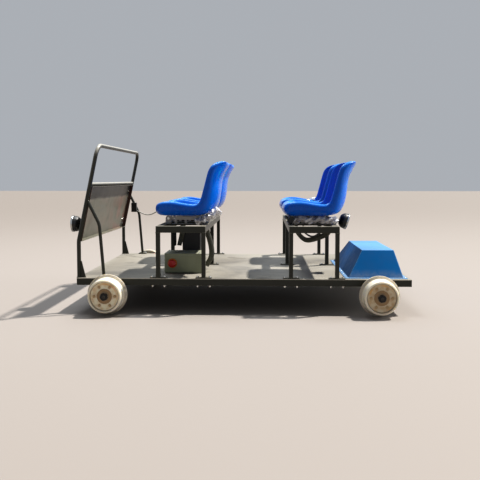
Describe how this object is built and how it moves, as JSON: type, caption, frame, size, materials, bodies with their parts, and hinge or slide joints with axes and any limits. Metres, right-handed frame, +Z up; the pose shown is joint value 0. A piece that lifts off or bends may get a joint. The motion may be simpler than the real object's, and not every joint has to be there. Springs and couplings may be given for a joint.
{
  "type": "battery rail inspection trolley with two rows of bucket seats",
  "caption": "Low flat rail trolley on flanged nylon wheels, with bucket seats in two rows, a leaning front handrail with a dash panel, a control box and a motor cover.",
  "frame": {"origin": "on the plane that the wheel flanges stand on, midway between the axles and between the wheels", "axes": "+X to the rear, along the deck; +Y across the track, away from the side that the picture shows; +Z up"},
  "size_m": [2.179, 1.599, 1.0635],
  "materials": {
    "frame_paint": "satin olive drab enamel, dusty",
    "deck_steel": "worn and dusty dark paint",
    "panel_paint": "semi-gloss olive grey",
    "seat_plastic": "glossy moulded plastic",
    "wheel_nylon": "turned cast nylon, stained",
    "hub_steel": "machined, lightly rusted",
    "axle_steel": "dull, oiled",
    "bearing_iron": "rough casting",
    "slide_steel": "light grey enamel",
    "lamp_black": "black housing with a bright rim",
    "lamp_glass": "clear, slightly domed",
    "box_paint": "grey green powder coat",
    "button_red": "gloss",
    "ring_yellow": "matt",
    "battery_black": "matt",
    "cover_blue": "satin folded sheet",
    "motor_grey": "painted casting",
    "cable_grey": "sheath",
    "webbing_black": "woven webbing"
  },
  "bodies": {
    "chassis": {"side_beams": "frame_paint", "end_beams": "frame_paint", "cross_members": "frame_paint", "deck_plate": "deck_steel", "axle_hangers": "frame_paint", "axle_bearings": "bearing_iron", "stand_rails": "frame_paint", "stand_crossbars": "frame_paint", "stand_legs": "frame_paint", "stand_feet": "frame_paint", "front_seat_near": "seat_plastic", "front_seat_far": "seat_plastic", "rear_seat_near": "seat_plastic", "rear_seat_far": "seat_plastic", "front_slide_near": "slide_steel", "front_slide_far": "slide_steel", "rear_slide_near": "slide_steel", "rear_slide_far": "slide_steel", "handrail_loop": "frame_paint", "handrail_braces": "frame_paint", "handrail_feet": "frame_paint", "dash_panel": "panel_paint", "dash_cross_tube": "frame_paint", "lamps": "lamp_black", "lamp_glasses": "lamp_glass", "lamp_brackets": "frame_paint", "control_box": "box_paint", "stop_ring": "ring_yellow", "stop_button": "button_red", "battery_box": "battery_black", "motor_cover": "cover_blue", "drive_motor": "motor_grey", "switch_box": "lamp_black", "cable": "cable_grey", "belts": "webbing_black"},
    "front_wheelset": {"front_wheel_near": "wheel_nylon", "front_wheel_far": "wheel_nylon", "front_hubs": "hub_steel", "front_axle": "axle_steel"},
    "rear_wheelset": {"rear_wheel_near": "wheel_nylon", "rear_wheel_far": "wheel_nylon", "rear_hubs": "hub_steel", "rear_axle": "axle_steel", "drive_sprocket": "axle_steel"},
    "control_box_cover": {"control_box_lid": "box_paint"}
  },
  "joints": [
    {"name": "front_axle_turn", "type": "hinge", "parent": "chassis", "child": "front_wheelset", "pos_m": [-0.84, 0, 0.124], "axis": [0, 1, 0], "continuous": true},
    {"name": "rear_axle_turn", "type": "hinge", "parent": "chassis", "child": "rear_wheelset", "pos_m": [0.84, 0, 0.124], "axis": [0, 1, 0], "continuous": true},
    {"name": "control_lid_hinge", "type": "hinge", "parent": "chassis", "child": "control_box_cover", "pos_m": [-0.399, -0.236, 0.3375], "axis": [-1, 0, 0], "range_deg": [0, 45]}
  ]
}
